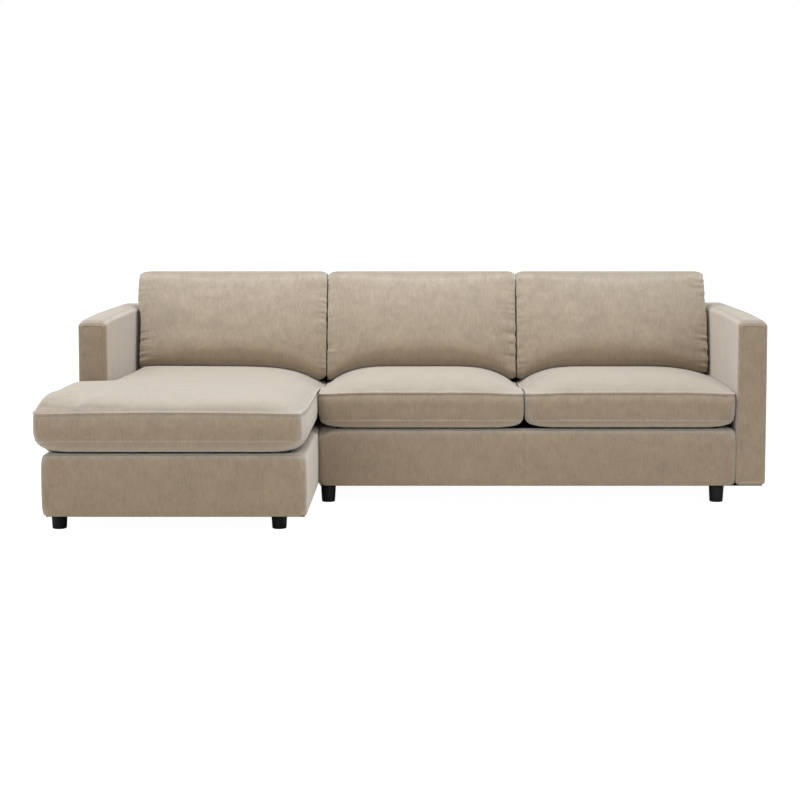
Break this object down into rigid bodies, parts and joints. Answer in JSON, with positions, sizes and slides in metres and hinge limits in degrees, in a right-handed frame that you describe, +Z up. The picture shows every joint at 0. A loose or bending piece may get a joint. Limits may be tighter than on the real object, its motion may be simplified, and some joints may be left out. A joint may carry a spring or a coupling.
{
  "type": "l-shaped modular sofa",
  "caption": "L-shaped modular sofa: a chaise module joined to a sofa module, with slim track arms, box seat cushions, loose back cushions and black tapered feet.",
  "frame": {"origin": "on the floor, under the middle of the sofa's whole outline", "axes": "+X along the sofa's width, with the chaise at -X; +Y from the seat's front towards the back; +Z up"},
  "size_m": [2.5508, 1.6598, 0.8295],
  "materials": {
    "connector_steel": "zinc-plated steel",
    "cushion_fabric": "light taupe ribbed chenille over foam and fibre",
    "deck_cloth": "black deck cloth",
    "dust_cloth": "black non-woven dust cloth",
    "foot_lacquer": "black satin lacquer on turned wood",
    "frame_timber": "planed pine boards",
    "spring_steel": "bare spring wire",
    "upholstery_fabric": "light taupe ribbed chenille over padding"
  },
  "bodies": {
    "root": {"back_cushion_left": "cushion_fabric", "back_cushion_middle": "cushion_fabric", "back_cushion_right": "cushion_fabric", "chaise_back_cover": "upholstery_fabric", "chaise_back_left_post": "frame_timber", "chaise_back_right_post": "frame_timber", "chaise_back_top_rail": "frame_timber", "chaise_base_cover": "upholstery_fabric", "chaise_deck_pad": "deck_cloth", "chaise_dust_cover": "dust_cloth", "chaise_front_rail": "frame_timber", "chaise_left_front_rail": "frame_timber", "chaise_left_rear_rail": "frame_timber", "chaise_rear_rail": "frame_timber", "chaise_right_rail": "frame_timber", "chaise_seat_cushion": "cushion_fabric", "chaise_shoulder_rail": "frame_timber", "chaise_spring_1": "spring_steel", "chaise_spring_2": "spring_steel", "chaise_spring_3": "spring_steel", "chaise_spring_4": "spring_steel", "connector_socket": "connector_steel", "connector_tongue": "connector_steel", "foot_chaise_front_left": "foot_lacquer", "foot_chaise_front_right": "foot_lacquer", "foot_chaise_rear_left": "foot_lacquer", "foot_chaise_rear_right": "foot_lacquer", "foot_sofa_front_left": "foot_lacquer", "foot_sofa_front_right": "foot_lacquer", "foot_sofa_rear_left": "foot_lacquer", "foot_sofa_rear_right": "foot_lacquer", "left_arm_cover": "upholstery_fabric", "left_arm_front_post": "frame_timber", "left_arm_rear_post": "frame_timber", "left_arm_top_rail": "frame_timber", "right_arm_cover": "upholstery_fabric", "right_arm_front_post": "frame_timber", "right_arm_rear_post": "frame_timber", "right_arm_top_rail": "frame_timber", "sofa_back_cover": "upholstery_fabric", "sofa_back_left_post": "frame_timber", "sofa_back_right_post": "frame_timber", "sofa_back_top_rail": "frame_timber", "sofa_base_cover": "upholstery_fabric", "sofa_centre_rail": "frame_timber", "sofa_deck_pad": "deck_cloth", "sofa_dust_cover": "dust_cloth", "sofa_front_rail": "frame_timber", "sofa_left_rail": "frame_timber", "sofa_rear_rail": "frame_timber", "sofa_right_rail": "frame_timber", "sofa_seat_cushion_left": "cushion_fabric", "sofa_seat_cushion_right": "cushion_fabric", "sofa_spring_1": "spring_steel", "sofa_spring_2": "spring_steel", "sofa_spring_3": "spring_steel", "sofa_spring_4": "spring_steel", "sofa_spring_5": "spring_steel", "sofa_spring_6": "spring_steel"}
  },
  "joints": []
}
